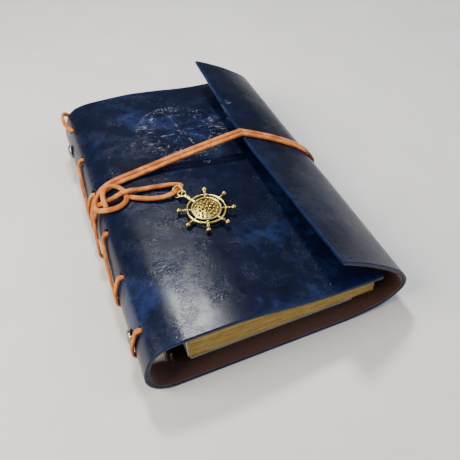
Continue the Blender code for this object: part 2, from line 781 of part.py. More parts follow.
def charm_wheel():
    """The ship's wheel: rim, hub plate, turned handles and a neck with its eye, joined."""
    parts = []

    def add(name, mesh, matrix=Matrix.Identity(4)):
        mesh.transform(matrix)
        item = finish("wheel_" + name, mesh, BRASS, cutters)
        item.location = (0, 0, 0)
        parts.append(item)

    add("rim", tube_mesh("rim", circle(WHEEL_RADIUS, 24), WHEEL_RIM, True, 1))
    handle = [
        (0.0, HANDLE_REACH), (1.0, HANDLE_REACH - 0.7), (0.6, HANDLE_REACH - 1.9),
        (1.35, HANDLE_REACH - 3.0), (0.65, WHEEL_RADIUS + 0.6), (0.8, 4.0), (0.0, 3.2),
    ]
    for spoke in range(1, 8):
        form = bmesh.new()
        verts = [form.verts.new((r, 0, h)) for r, h in handle]
        for pair in zip(verts, verts[1:]):
            form.edges.new(pair)
        bmesh.ops.spin(
            form, geom=form.verts[:] + form.edges[:], cent=(0, 0, 0), axis=(0, 0, 1),
            angle=math.tau, steps=6, use_merge=True,
        )
        bmesh.ops.remove_doubles(form, verts=form.verts, dist=1e-5)
        bmesh.ops.recalc_face_normals(form, faces=form.faces)
        mesh = bpy.data.meshes.new("handle")
        form.to_mesh(mesh)
        form.free()
        swing = Matrix.Rotation(math.tau * spoke / 8, 4, "Z") @ Matrix.Rotation(math.pi / 2, 4, "Y")
        add(f"handle_{spoke}", mesh, swing)
    neck_end = EYE_REACH - EYE_RADIUS - 0.3
    neck = [Vector((3.6 + (neck_end - 3.6) * i / 4, 0, 0)) for i in range(5)]
    add("neck", tube_mesh("neck", neck, 0.8, False, 1))
    eye = circle(EYE_RADIUS, 14)
    add("eye", tube_mesh("eye", eye, EYE_WIRE, True, 1), Matrix.Translation((EYE_REACH, 0, 0)))
    form = bmesh.new()
    bmesh.ops.create_uvsphere(form, u_segments=16, v_segments=6, radius=1.0)
    bmesh.ops.scale(form, vec=(HUB_RADIUS, HUB_RADIUS, HUB_RISE), verts=form.verts)
    mesh = bpy.data.meshes.new("hub")
    form.to_mesh(mesh)
    form.free()
    base = finish("wheel_hub", mesh, BRASS, cutters)
    base.location = (0, 0, 0)
    for item in parts:
        union = base.modifiers.new("join_" + item.name, "BOOLEAN")
        union.operation = "UNION"
        union.object = item
    graph = bpy.context.evaluated_depsgraph_get()
    mesh = bpy.data.meshes.new_from_object(base.evaluated_get(graph))
    for item in (base, *parts):
        bpy.data.objects.remove(item, do_unlink=True)
    mesh.transform(Matrix.Scale(1 / MM, 4))
    mesh.transform(Matrix.Translation((-EYE_REACH, 0, 0)))
    basis = Matrix.Identity(3)
    basis.col[0] = -toward_charm
    basis.col[1] = across
    basis.col[2] = (-toward_charm).cross(across)
    if basis.col[2].z < 0:
        basis.col[1] = -across
        basis.col[2] = (-toward_charm).cross(-across)
    mesh.transform(basis.to_4x4())
    mesh.name = "charm_wheel"
    mesh.materials.clear()
    return mesh


finish("charm_wheel", charm_wheel(), BRASS, at=EYE)
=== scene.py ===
# Looks of the leather wrap journal: waxed leather wrap, suede lace, kraft leaves, six rings
# and the brass ship's wheel charm. Sizes are in millimetres until a mesh is finished.
import math
import random

import bmesh
import bpy
from mathutils import Matrix, Vector, noise


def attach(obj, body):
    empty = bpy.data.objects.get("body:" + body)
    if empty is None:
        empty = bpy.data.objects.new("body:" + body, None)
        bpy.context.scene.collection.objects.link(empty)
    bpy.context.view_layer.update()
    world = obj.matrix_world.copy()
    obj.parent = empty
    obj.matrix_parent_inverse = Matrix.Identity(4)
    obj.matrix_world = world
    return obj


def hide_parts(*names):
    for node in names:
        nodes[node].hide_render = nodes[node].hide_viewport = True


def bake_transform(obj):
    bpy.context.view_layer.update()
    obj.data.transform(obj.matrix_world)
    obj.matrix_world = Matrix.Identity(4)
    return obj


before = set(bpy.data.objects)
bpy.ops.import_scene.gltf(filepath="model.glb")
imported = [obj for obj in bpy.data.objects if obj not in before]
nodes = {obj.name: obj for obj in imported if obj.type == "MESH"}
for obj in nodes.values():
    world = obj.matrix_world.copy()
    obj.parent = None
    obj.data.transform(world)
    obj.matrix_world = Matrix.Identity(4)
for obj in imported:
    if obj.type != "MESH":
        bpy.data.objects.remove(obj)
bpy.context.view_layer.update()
mm = 0.001
origin = Vector((63.3, 92.5, 0.0))  # the row frame's origin, in the journal's own millimetres


def inFrame(point):
    return (Vector(point) - origin) * mm


# Where the camera stands, in the journal's millimetres, and its turns in degrees.
view = {"at": (0.1, -114.0, 218.1), "pitch": 46.84, "yaw": 19.88, "roll": 2.89, "lens": 41.63}


def addCamera():
    pitch, yaw, roll = (math.radians(view[k]) for k in ("pitch", "yaw", "roll"))
    level = Vector((math.sin(yaw), math.cos(yaw), 0.0))
    ahead = level * math.cos(pitch) - Vector((0.0, 0.0, math.sin(pitch)))
    right = Vector((math.cos(yaw), -math.sin(yaw), 0.0))
    down = ahead.cross(right)
    rolledRight = right * math.cos(roll) + down * math.sin(roll)
    rolledDown = down * math.cos(roll) - right * math.sin(roll)
    turn = Matrix((rolledRight, -rolledDown, -ahead)).transposed().to_4x4()
    lens = bpy.data.cameras.new("camera")
    lens.lens = view["lens"]
    lens.sensor_width = 36.0
    lens.clip_start = 0.005
    camera = bpy.data.objects.new("camera", lens)
    camera.matrix_world = Matrix.Translation(inFrame(view["at"])) @ turn
    bpy.context.scene.collection.objects.link(camera)
    bpy.context.scene.camera = camera


addCamera()


def toLinear(hexColour):
    parts = [int(hexColour[i : i + 2], 16) / 255 for i in (1, 3, 5)]
    return (*[c / 12.92 if c <= 0.04045 else ((c + 0.055) / 1.055) ** 2.4 for c in parts], 1.0)


def addNode(tree, kind, settings=None, links=None, stops=None):
    made = tree.nodes.new("ShaderNode" + kind)
    for name, value in (settings or {}).items():
        if isinstance(name, str) and hasattr(made, name):
            setattr(made, name, value)
        else:
            made.inputs[name].default_value = value
    for socket, source in (links or {}).items():
        tree.links.new(source, made.inputs[socket])
    if stops:
        ramp = made.color_ramp.elements
        while len(ramp) < len(stops):
            ramp.new(0.5)
        for element, (position, colour) in zip(ramp, stops):
            element.position = position
            element.color = toLinear(colour)
    return made


def newMaterial(name):
    material = bpy.data.materials.new(name)
    material.use_nodes = True
    tree = material.node_tree
    shader = tree.nodes["Principled BSDF"]
    coords = tree.nodes.new("ShaderNodeTexCoord")
    return material, tree, shader, coords.outputs["Object"]


def perMetre(sizeInMm):
    return 1000.0 / sizeInMm


def smoothLine(points, spans):
    points = [Vector(p) for p in points]
    padded = [2 * points[0] - points[1], *points, 2 * points[-1] - points[-2]]
    line = []
    for before, a, b, after in zip(padded, padded[1:], padded[2:], padded[3:]):
        length = (b - a).length
        leave = (b - before).normalized() * length
        arrive = (after - a).normalized() * length
        for i in range(spans):
            t = i / spans
            line.append(
                a * (2 * t**3 - 3 * t**2 + 1)
                + leave * (t**3 - 2 * t**2 + t)
                + b * (3 * t**2 - 2 * t**3)
                + arrive * (t**3 - t**2)
            )
    line.append(points[-1])
    return line


def easeStep(share):
    share = min(1.0, max(0.0, share))
    return share * share * (3 - 2 * share)


def finishPiece(name, form, materials, sharp=40, normals=True):
    if normals:
        bmesh.ops.recalc_face_normals(form, faces=form.faces)
    mesh = bpy.data.meshes.new(name)
    form.to_mesh(mesh)
    form.free()
    mesh.transform(Matrix.Scale(mm, 4) @ Matrix.Translation(-origin))
    for material in materials:
        mesh.materials.append(material)
    mesh.shade_smooth()
    mesh.set_sharp_from_angle(angle=math.radians(sharp))
    piece = bpy.data.objects.new(name, mesh)
    bpy.context.scene.collection.objects.link(piece)
    return piece


# The wrap's leather: colours from deep to rubbed (the rubbed colour also paints a painted highlight along the
# cracks), pattern sizes, and where the print lies.
leatherLook = {
    "deep": "#03060f", "navy": "#070e25", "rubAndHighlight": "#152349", "print": "#9a9fab",
    "cloudSize": 38.0, "mottleSize": 7.0, "crackSize": 1.7, "grainSize": 0.45,
    "printAt": (64.0, 137.0), "printTurn": 8.0, "printRadius": 27.0,
}


def waxedLeather():
    # Waxed pull-up leather, embossed and glazed: near-black blue that pales where it is rubbed, with a crackled
    # wax film; its cracks carry a small bump and a pale painted highlight that stands for the light they catch
    # in short broken streaks.
    look = leatherLook
    material, tree, shader, coords = newMaterial("navyPullUpLeather")
    warp = addNode(tree, "TexNoise", {"Scale": perMetre(9.0), "Detail": 3.0}, {"Vector": coords})
    warped = addNode(
        tree, "VectorMath", {"operation": "MULTIPLY_ADD", 1: (0.006, 0.006, 0.006)},
        {0: warp.outputs["Color"], 2: coords},
    ).outputs[0]
    clouds = addNode(
        tree, "TexNoise", {"Scale": perMetre(look["cloudSize"]), "Detail": 5.0, "Roughness": 0.62},
        {"Vector": warped},
    )
    mottle = addNode(
        tree, "TexNoise", {"Scale": perMetre(look["mottleSize"]), "Detail": 6.0, "Roughness": 0.7},
        {"Vector": warped},
    )
    tone = addNode(
        tree, "Math", {"operation": "MULTIPLY_ADD", 1: 0.55},
        {0: mottle.outputs["Fac"], 2: clouds.outputs["Fac"]},
    )
    base = addNode(
        tree, "ValToRGB", links={"Fac": tone.outputs[0]},
        stops=[(0.45, look["deep"]), (0.85, look["navy"]), (1.25, look["rubAndHighlight"])],
    )
    # Two scales of cracks, drawn out along one direction, that only open in patches.
    stretch = addNode(
        tree, "Mapping", {"Rotation": (0, 0, 0.35), "Scale": (0.8, 2.0, 1.0)}, {"Vector": warped}
    )
    cracks = []
    for size, wide in ((look["crackSize"], 0.09), (look["crackSize"] * 3.3, 0.045)):
        cells = addNode(
            tree, "TexVoronoi", {"feature": "DISTANCE_TO_EDGE", "Scale": perMetre(size)},
            {"Vector": stretch.outputs[0]},
        )
        cracks.append(
            addNode(
                tree, "MapRange", {"From Min": 0.0, "From Max": wide, "To Min": 1.0, "To Max": 0.0},
                {"Value": cells.outputs["Distance"]},
            ).outputs[0]
        )
    patches = addNode(
        tree, "TexNoise", {"Scale": perMetre(16.0), "Detail": 4.0, "Roughness": 0.65},
        {"Vector": coords},
    )
    openPatches = addNode(
        tree, "MapRange", {"From Min": 0.44, "From Max": 0.62}, {"Value": patches.outputs["Fac"]}
    ).outputs[0]
    fine = addNode(tree, "Math", {"operation": "MULTIPLY"}, {0: cracks[0], 1: openPatches})
    deepCrack = addNode(tree, "Math", {"operation": "MULTIPLY"}, {0: cracks[1], 1: openPatches})
    crack = addNode(
        tree, "Math", {"operation": "MAXIMUM"}, {0: fine.outputs[0], 1: deepCrack.outputs[0]}
    )
    # Long scuffs: noise drawn out along one direction, only its crests kept.
    scuffMap = addNode(
        tree, "Mapping", {"Rotation": (0, 0, -0.35), "Scale": (0.16, 1.6, 1.0)}, {"Vector": warped}
    )
    scuffNoise = addNode(
        tree, "TexNoise", {"Scale": perMetre(2.2), "Detail": 3.0, "Roughness": 0.55},
        {"Vector": scuffMap.outputs[0]},
    )
    scuffs = addNode(
        tree, "MapRange", {"From Min": 0.64, "From Max": 0.74}, {"Value": scuffNoise.outputs["Fac"]}
    ).outputs[0]
    scuffPatch = addNode(
        tree, "Math", {"operation": "MULTIPLY"}, {0: scuffs, 1: openPatches}
    ).outputs[0]
    worn = addNode(tree, "Attribute", {"attribute_name": "edgeWear"})
    rubbed = addNode(
        tree, "Math", {"operation": "MULTIPLY"}, {0: worn.outputs["Fac"], 1: mottle.outputs["Fac"]}
    )
    # Painted highlight: the crack lines are painted pale, added to the real paling at worn edges.
    crackHighlightAndEdgeWear = addNode(
        tree, "Math", {"operation": "MULTIPLY_ADD", 1: 0.5}, {0: crack.outputs[0], 2: rubbed.outputs[0]}
    )
    # One pale mask: real scuff wear plus the painted highlight along the cracks.
    scuffWearAndCrackHighlight = addNode(
        tree, "Math", {"operation": "MULTIPLY_ADD", 1: 0.3, "use_clamp": True},
        {0: scuffPatch, 2: crackHighlightAndEdgeWear.outputs[0]},
    )
    # Mixes in the pale colour where there is wear or painted crack highlight.
    wornAndHighlightedColour = addNode(
        tree, "Mix", {"data_type": "RGBA", 7: toLinear(look["rubAndHighlight"])},
        {0: scuffWearAndCrackHighlight.outputs[0], 6: base.outputs["Color"]},
    )
    printMask = compassPrint(tree, coords, patches.outputs["Fac"], mottle.outputs["Fac"])
    printed = addNode(
        tree, "Mix", {"data_type": "RGBA", 7: toLinear(look["print"])},
        {0: printMask, 6: wornAndHighlightedColour.outputs[2]},
    )
    tree.links.new(printed.outputs[2], shader.inputs["Base Color"])
    shine = addNode(
        tree, "MapRange", {"From Min": 0.3, "From Max": 0.75, "To Min": 0.25, "To Max": 0.34},
        {"Value": mottle.outputs["Fac"]},
    )
    dull = addNode(
        tree, "Math", {"operation": "MULTIPLY_ADD", 1: 0.16}, {0: printMask, 2: shine.outputs[0]}
    )
    tree.links.new(dull.outputs[0], shader.inputs["Roughness"])
    shader.inputs["IOR"].default_value = 1.42
    shader.inputs["Specular IOR Level"].default_value = 0.2  # wax soaks up part of the gloss
    shader.inputs["Coat Weight"].default_value = 0.04
    shader.inputs["Coat Roughness"].default_value = 0.12
    grain = addNode(
        tree, "TexVoronoi", {"feature": "SMOOTH_F1", "Scale": perMetre(look["grainSize"])},
        {"Vector": warped},
    )
    soft = addNode(
        tree, "TexNoise", {"Scale": perMetre(5.0), "Detail": 4.0, "Roughness": 0.6},
        {"Vector": warped},
    )
    bumps = [  # height, metres it stands, strength, and whether it is pressed in
        (grain.outputs["Distance"], 0.00003, 0.35, False),
        (soft.outputs["Fac"], 0.0003, 0.2, False),
        (crack.outputs[0], 0.00006, 0.8, True),
        (scuffPatch, 0.00006, 0.6, False),
    ]
    last = None
    for height, distance, strength, invert in bumps:
        links = {"Height": height}
        if last:
            links["Normal"] = last
        last = addNode(
            tree, "Bump", {"Distance": distance, "Strength": strength, "invert": invert}, links
        ).outputs["Normal"]
    tree.links.new(last, shader.inputs["Normal"])
    return material


def compassPrint(tree, coords, patches, mottle):
    # A worn silver compass rose: two split stars, three rings, three bands of ticks and
    # four diamonds.
    look = leatherLook
    centre = inFrame((*look["printAt"], 0.0))
    moved = addNode(
        tree, "Mapping",
        {"vector_type": "TEXTURE", "Location": (centre.x, centre.y, 0.0),
         "Rotation": (0, 0, math.radians(look["printTurn"])), "Scale": (0.001, 0.001, 1.0)},
        {"Vector": coords},
    )
    flat = addNode(
        tree, "VectorMath", {"operation": "MULTIPLY", 1: (1.0, 1.0, 0.0)}, {0: moved.outputs[0]}
    ).outputs[0]
    radius = addNode(tree, "VectorMath", {"operation": "LENGTH"}, {0: flat}).outputs["Value"]
    angle = addNode(tree, "TexGradient", {"gradient_type": "RADIAL"}, {"Vector": flat}).outputs["Fac"]
    outer = look["printRadius"]
    marks = []
    for points, reach, core in ((8, outer * 0.5, outer * 0.12), (4, outer * 0.78, outer * 0.1)):
        turns = addNode(tree, "Math", {"operation": "MULTIPLY", 1: points * 2.0}, {0: angle}).outputs[0]
        wave = addNode(tree, "Math", {"operation": "PINGPONG", 1: 1.0}, {0: turns}).outputs[0]
        spike = addNode(
            tree, "Math", {"operation": "SUBTRACT", 0: 1.0}, {1: wave}
        ).outputs[0]
        sharp = addNode(tree, "Math", {"operation": "POWER", 1: 5.0}, {0: spike}).outputs[0]
        edge = addNode(
            tree, "Math", {"operation": "MULTIPLY_ADD", 1: reach - core, 2: core}, {0: sharp}
        ).outputs[0]
        inside = addNode(tree, "Math", {"operation": "LESS_THAN"}, {0: radius, 1: edge}).outputs[0]
        half = addNode(tree, "Math", {"operation": "MODULO", 1: 2.0}, {0: turns}).outputs[0]
        lit = addNode(tree, "Math", {"operation": "LESS_THAN", 1: 1.0}, {0: half}).outputs[0]
        marks.append(addNode(tree, "Math", {"operation": "MULTIPLY"}, {0: inside, 1: lit}).outputs[0])
    for ring, wide in ((outer * 0.62, 0.22), (outer * 0.86, 0.25), (outer * 0.98, 0.2)):
        marks.append(
            addNode(tree, "Math", {"operation": "COMPARE", 1: ring, 2: wide}, {0: radius}).outputs[0]
        )
    bands = ((72, 0.88, 0.96, 0.62), (32, 0.64, 0.74, 0.7), (16, 0.76, 0.84, 0.45))
    for count, low, high, share in bands:
        turns = addNode(tree, "Math", {"operation": "MULTIPLY", 1: count * 2.0}, {0: angle}).outputs[0]
        wave = addNode(tree, "Math", {"operation": "PINGPONG", 1: 1.0}, {0: turns}).outputs[0]
        tick = addNode(tree, "Math", {"operation": "GREATER_THAN", 1: share}, {0: wave}).outputs[0]
        band = addNode(
            tree, "Math",
            {"operation": "COMPARE", 1: outer * (low + high) / 2, 2: outer * (high - low) / 2},
            {0: radius},
        ).outputs[0]
        marks.append(addNode(tree, "Math", {"operation": "MULTIPLY"}, {0: tick, 1: band}).outputs[0])
    # Four diamonds where the quarters lie.
    folded = addNode(tree, "VectorMath", {"operation": "ABSOLUTE"}, {0: flat}).outputs[0]
    for spot in ((outer * 1.16, 0.0, 0.0), (0.0, outer * 1.16, 0.0)):
        away = addNode(tree, "VectorMath", {"operation": "SUBTRACT", 1: spot}, {0: folded}).outputs[0]
        size = addNode(tree, "VectorMath", {"operation": "ABSOLUTE"}, {0: away}).outputs[0]
        span = addNode(
            tree, "VectorMath", {"operation": "DOT_PRODUCT", 1: (1.0, 1.0, 0.0)}, {0: size}
        ).outputs["Value"]
        marks.append(addNode(tree, "Math", {"operation": "LESS_THAN", 1: 2.4}, {0: span}).outputs[0])
    mask = marks[0]
    for mark in marks[1:]:
        mask = addNode(tree, "Math", {"operation": "MAXIMUM"}, {0: mask, 1: mark}).outputs[0]
    # The foil has gone in patches and along fine strokes.
    strokes = addNode(tree, "Mapping", {"Scale": (0.25, 2.2, 1.0)}, {"Vector": coords})
    strokeNoise = addNode(
        tree, "TexNoise", {"Scale": perMetre(1.6), "Detail": 3.0, "Roughness": 0.7},
        {"Vector": strokes.outputs[0]},
    ).outputs["Fac"]
    left = addNode(
        tree, "MapRange", {"From Min": 0.5, "From Max": 0.6}, {"Value": strokeNoise}
    ).outputs[0]
    kept = addNode(tree, "MapRange", {"From Min": 0.42, "From Max": 0.6}, {"Value": mottle}).outputs[0]
    foil = addNode(tree, "Math", {"operation": "MULTIPLY"}, {0: left, 1: kept}).outputs[0]
    thin = addNode(tree, "Math", {"operation": "MULTIPLY", 1: 0.75}, {0: foil}).outputs[0]
    worn = addNode(tree, "Math", {"operation": "MULTIPLY"}, {0: mask, 1: thin}).outputs[0]
    # Only the front cover is printed: its face is well above the back cover.
    height = addNode(tree, "SeparateXYZ", links={"Vector": coords}).outputs["Z"]
    front = addNode(tree, "Math", {"operation": "GREATER_THAN", 1: 0.024}, {0: height}).outputs[0]
    return addNode(tree, "Math", {"operation": "MULTIPLY"}, {0: worn, 1: front}).outputs[0]


def simpleMaterial(
    name, dark, pale, size, roughness, metallic=0.0, bump=0.0, bumpSize=0.5, extra=None
):
    # Clouds of two tones with a roughness that follows them, and a fine relief.
    material, tree, shader, coords = newMaterial(name)
    spots = addNode(
        tree, "TexNoise", {"Scale": perMetre(size), "Detail": 5.0, "Roughness": 0.65}, {"Vector": coords}
    ).outputs["Fac"]
    colour = addNode(tree, "ValToRGB", links={"Fac": spots}, stops=[(0.32, dark), (0.7, pale)])
    tree.links.new(colour.outputs["Color"], shader.inputs["Base Color"])
    rough = addNode(
        tree, "MapRange",
        {"From Min": 0.3, "From Max": 0.7, "To Min": roughness[0], "To Max": roughness[1]},
        {"Value": spots},
    )
    tree.links.new(rough.outputs[0], shader.inputs["Roughness"])
    shader.inputs["Metallic"].default_value = metallic
    for socket, value in (extra or {}).items():
        shader.inputs[socket].default_value = value
    if bump:
        fibre = addNode(
            tree, "TexNoise", {"Scale": perMetre(bumpSize), "Detail": 4.0, "Roughness": 0.7},
            {"Vector": coords},
        )
        relief = addNode(
            tree, "Bump", {"Distance": bump, "Strength": 0.8}, {"Height": fibre.outputs["Fac"]}
        )
        tree.links.new(relief.outputs["Normal"], shader.inputs["Normal"])
    return material


def kraftPaper():
    # Uncoated kraft paper, guillotined: ochre leaves whose cut edges show as fine layers.
    material, tree, shader, coords = newMaterial("kraftPaperCut")
    layers = addNode(tree, "Mapping", {"Scale": (0.04, 0.04, 1.0)}, {"Vector": coords})
    sheets = addNode(
        tree, "TexNoise", {"Scale": perMetre(0.32), "Detail": 2.0, "Roughness": 0.8},
        {"Vector": layers.outputs[0]},
    ).outputs["Fac"]
    fibres = addNode(
        tree, "TexNoise", {"Scale": perMetre(0.9), "Detail": 6.0, "Roughness": 0.75},
        {"Vector": coords},
    ).outputs["Fac"]
    tone = addNode(
        tree, "Math", {"operation": "MULTIPLY_ADD", 1: 0.6}, {0: fibres, 2: sheets}
    ).outputs[0]
    colour = addNode(
        tree, "ValToRGB", links={"Fac": tone},
        stops=[(0.55, "#8a6d2c"), (0.8, "#b7984f"), (1.0, "#cdb26e")],
    )
    tree.links.new(colour.outputs["Color"], shader.inputs["Base Color"])
    shader.inputs["Roughness"].default_value = 0.88
    relief = addNode(tree, "Bump", {"Distance": 0.0001, "Strength": 0.7}, {"Height": tone})
    tree.links.new(relief.outputs["Normal"], shader.inputs["Normal"])
    return material


def suede():
    # Split suede, cut into lace: a matt orange tan nap that shades where it is brushed.
    material, tree, shader, coords = newMaterial("tanSuedeNapped")
    nap = addNode(
        tree, "TexNoise", {"Scale": perMetre(1.1), "Detail": 6.0, "Roughness": 0.75}, {"Vector": coords}
    ).outputs["Fac"]
    brushed = addNode(
        tree, "TexNoise", {"Scale": perMetre(6.0), "Detail": 2.0}, {"Vector": coords}
    ).outputs["Fac"]
    tone = addNode(tree, "Math", {"operation": "MULTIPLY_ADD", 1: 0.8}, {0: nap, 2: brushed}).outputs[0]
    colour = addNode(
        tree, "ValToRGB", links={"Fac": tone},
        stops=[(0.65, "#87400f"), (0.9, "#b0611f"), (1.1, "#c67c38")],
    )
    tree.links.new(colour.outputs["Color"], shader.inputs["Base Color"])
    shader.inputs["Roughness"].default_value = 0.92
    shader.inputs["Sheen Weight"].default_value = 0.12
    shader.inputs["Sheen Roughness"].default_value = 0.5
    shader.inputs["Sheen Tint"].default_value = toLinear("#ffc79a")
    fuzz = addNode(
        tree, "TexNoise", {"Scale": perMetre(0.35), "Detail": 4.0, "Roughness": 0.8}, {"Vector": coords}
    ).outputs["Fac"]
    relief = addNode(tree, "Bump", {"Distance": 0.00025, "Strength": 0.8}, {"Height": fuzz})
    tree.links.new(relief.outputs["Normal"], shader.inputs["Normal"])
    return material


def antiqueBrass():
    # Cast brass, chemically aged then relieved: dark in the hollows, pale yellow where it
    # sticks out.
    material, tree, shader, coords = newMaterial("agedBrassCast")
    worn = addNode(tree, "NewGeometry").outputs["Pointiness"]
    spots = addNode(
        tree, "TexNoise", {"Scale": perMetre(1.6), "Detail": 5.0, "Roughness": 0.7}, {"Vector": coords}
    ).outputs["Fac"]
    raised = addNode(
        tree, "MapRange", {"From Min": 0.44, "From Max": 0.56}, {"Value": worn}
    ).outputs[0]
    tone = addNode(
        tree, "Math", {"operation": "MULTIPLY_ADD", 1: 0.6}, {0: spots, 2: raised}
    ).outputs[0]
    colour = addNode(
        tree, "ValToRGB", links={"Fac": tone},
        stops=[(0.4, "#141005"), (0.95, "#6b5f2e"), (1.3, "#b3a360")],
    )
    tree.links.new(colour.outputs["Color"], shader.inputs["Base Color"])
    shader.inputs["Metallic"].default_value = 1.0
    rough = addNode(tree, "MapRange", {"To Min": 0.5, "To Max": 0.26}, {"Value": raised})
    tree.links.new(rough.outputs[0], shader.inputs["Roughness"])
    relief = addNode(tree, "Bump", {"Distance": 0.0001, "Strength": 0.5}, {"Height": spots})
    tree.links.new(relief.outputs["Normal"], shader.inputs["Normal"])
    return material


def clearVinyl():
    # Calendered PVC film, a little cloudy: see-through, with a soft wavy gloss.
    material, tree, shader, coords = newMaterial("clearVinylCalendered")
    waves = addNode(
        tree, "TexNoise", {"Scale": perMetre(14.0), "Detail": 2.0}, {"Vector": coords}
    ).outputs["Fac"]
    shader.inputs["Base Color"].default_value = toLinear("#c9cfcd")
    shader.inputs["Roughness"].default_value = 0.14
    shader.inputs["IOR"].default_value = 1.53
    shader.inputs["Alpha"].default_value = 0.42
    relief = addNode(tree, "Bump", {"Distance": 0.0004, "Strength": 0.5}, {"Height": waves})
    tree.links.new(relief.outputs["Normal"], shader.inputs["Normal"])
    return material


print("materials")
leather = waxedLeather()
# Split leather side and painted edge: matt blue black with a fibrous bump.
leatherEdge = simpleMaterial(
    "inkedLeatherEdge", "#07090f", "#1a2136", 1.2, (0.4, 0.6), 0.0, 0.00012, 0.4
)
# Brushed microfibre lining, glued on: dark chestnut, matt, with a short nap.
liningCloth = simpleMaterial(
    "chestnutMicrofibre", "#2e140c", "#4b2415", 2.4, (0.75, 0.9), 0.0, 0.0001, 0.3,
    {"Sheen Weight": 0.25},
)
# Nickel plate over stamped steel: grey, hazy reflections.
nickel = simpleMaterial(
    "nickelPlatedSteel", "#77736c", "#a9a59e", 5.0, (0.14, 0.26), 1.0, 0.00001, 0.6
)
# Frosted PVC sheet, cut: pale grey and half matt.
whiteVinyl = simpleMaterial(
    "frostedVinylEdge", "#b9bcb6", "#d9dbd6", 3.0, (0.28, 0.4), 0.0, 0.00004, 1.0
)
paper = kraftPaper()
tanSuede = suede()
brass = antiqueBrass()
vinyl = clearVinyl()


# The wrap: its sheet, the place where the strands hold the flap down and their dent below.
wrap = {
    "length": 185.0, "thick": 1.8, "liningAt": 1.85, "liningThick": 0.5, "edgeRound": 0.45,
    "columns": 78, "spans": 5, "liningInset": 0.5,
    "dentY": 96.95, "dent": 2.1, "dentReach": 9.0,
    "foldX": 126.2, "flapReach": 35.5, "holdY": 109.95, "holdDrop": 11.6, "headRise": 8.0,
    "holdWide": 9.0, "holdSoften": 1.3,
}
# Outer section as (x, z) with how far the leather ripples there, from the front cover's free
# edge over the spine and under the back to the flap's free edge.
wrapPoints = [
    (114.0, 26.6, 0.3), (97.0, 26.9, 0.3), (80.0, 28.2, 0.3), (62.0, 30.9, 0.28), (44.0, 33.0, 0.28),
    (27.0, 33.4, 0.25), (17.5, 33.3, 0.2), (11.0, 32.2, 0.15), (7.4, 30.5, 0.12),
    (4.3, 27.5, 0.1), (1.8, 22.2, 0.1), (0.5, 17.5, 0.08), (0.1, 12.5, 0.05),
    (0.6, 9.8, 0.03), (2.0, 6.3, 0.0), (4.9, 2.9, 0.0), (9.6, 0.7, 0.0), (15.0, 0.0, 0.0),
    (55.0, 0.0, 0.0), (97.4, 0.0, 0.0), (107.4, 1.0, 0.0), (116.9, 3.0, 0.05), (124.2, 7.4, 0.08),
    (127.9, 11.8, 0.1), (128.4, 16.8, 0.12), (126.2, 21.8, 0.15), (122.2, 27.0, 0.2),
    (109.6, 37.1, 0.3), (98.5, 44.2, 0.3), (90.7, 48.6, 0.3),
]
spans = wrap["spans"]
shoulder, spineSplit, heel, backSplit, fold = (k * spans for k in (8, 12, 14, 17, 25))
wrapLine = smoothLine([(x, z, ripple * 100) for x, z, ripple in wrapPoints], spans)
ripples = [max(0.0, p.z / 100) for p in wrapLine]
wrapLine = [Vector((p.x, p.y)) for p in wrapLine]
inward = []
for i in range(len(wrapLine)):
    along = (wrapLine[min(i + 1, len(wrapLine) - 1)] - wrapLine[max(i - 1, 0)]).normalized()
    inward.append(Vector((-along.y, along.x)))
arc = [0.0]
for a, b in zip(wrapLine, wrapLine[1:]):
    arc.append(arc[-1] + (b - a).length)


def ripple(i, y):
    place = Vector((arc[i], y, 0.0))
    broad = noise.noise(place / 34.0)
    short = noise.noise(place / 11.0 + Vector((7.1, 3.3, 0.0)))
    return ripples[i] * (broad + 0.35 * short)


def wrapPoint(i, y, depth):
    push = depth - ripple(i, y)
    x = wrapLine[i].x + inward[i].x * push
    z = wrapLine[i].y + inward[i].y * push
    if i >= heel and i <= fold:
        share = easeStep(1.45 - (abs(y - wrap["dentY"]) - 1.0) / wrap["dentReach"])
        z = max(z, depth)
        z += share * max(0.0, wrap["dent"] + depth - z)
    if i > fold:
        # The flap springs up towards its corners from where the strands hold it down.
        share = min(1.15, max(0.0, (wrap["foldX"] - x) / wrap["flapReach"]))
        hold, drop = wrap["holdY"], wrap["holdDrop"]
        if y < hold:
            drop *= min(1.0, (y + 1.2 * math.exp(-y / 30)) / hold)
        else:
            drop -= wrap["headRise"] * (y - hold) / (wrap["length"] - hold)
        soften = wrap["holdSoften"] * math.exp(-(((y - hold) / wrap["holdWide"]) ** 2))
        z -= (drop - soften) * share
    return Vector((x, y, z))


# Rows of points across the wrap, close together at its cut edges.
middleY = wrap["length"] / 2
steps = wrap["columns"]
columnYs = [0.0, 0.55, 1.4]
columnYs += [1.4 + (wrap["length"] - 2.8) * k / steps for k in range(1, steps)]
columnYs += [wrap["length"] - 1.4, wrap["length"] - 0.55, wrap["length"]]


def boreLaceHoles(piece, column):
    # Punched lace holes, cut with plain rods that are removed afterwards.
    at, out = laceHoles[column]
    form = bmesh.new()
    for y in holeYs:
        turn = Vector((out.x, 0.0, out.y)).to_track_quat("Z", "Y").to_matrix().to_4x4()
        middle = Vector((at.x, y, at.y)) - Vector((out.x, 0.0, out.y)) * 1.5
        bmesh.ops.create_cone(
            form, cap_ends=True, segments=28, radius1=2.0, radius2=2.0, depth=9.0,
            matrix=Matrix.Translation(middle) @ turn,
        )
    rods = finishPiece("holeRods", form, [leatherEdge])
    cut = piece.modifiers.new("laceHoles", "BOOLEAN")
    cut.operation = "DIFFERENCE"
    cut.object = rods
    cut.material_mode = "TRANSFER"
    graph = bpy.context.evaluated_depsgraph_get()
    mesh = bpy.data.meshes.new_from_object(piece.evaluated_get(graph))
    piece.modifiers.clear()
    piece.data = mesh
    bpy.data.objects.remove(rods)


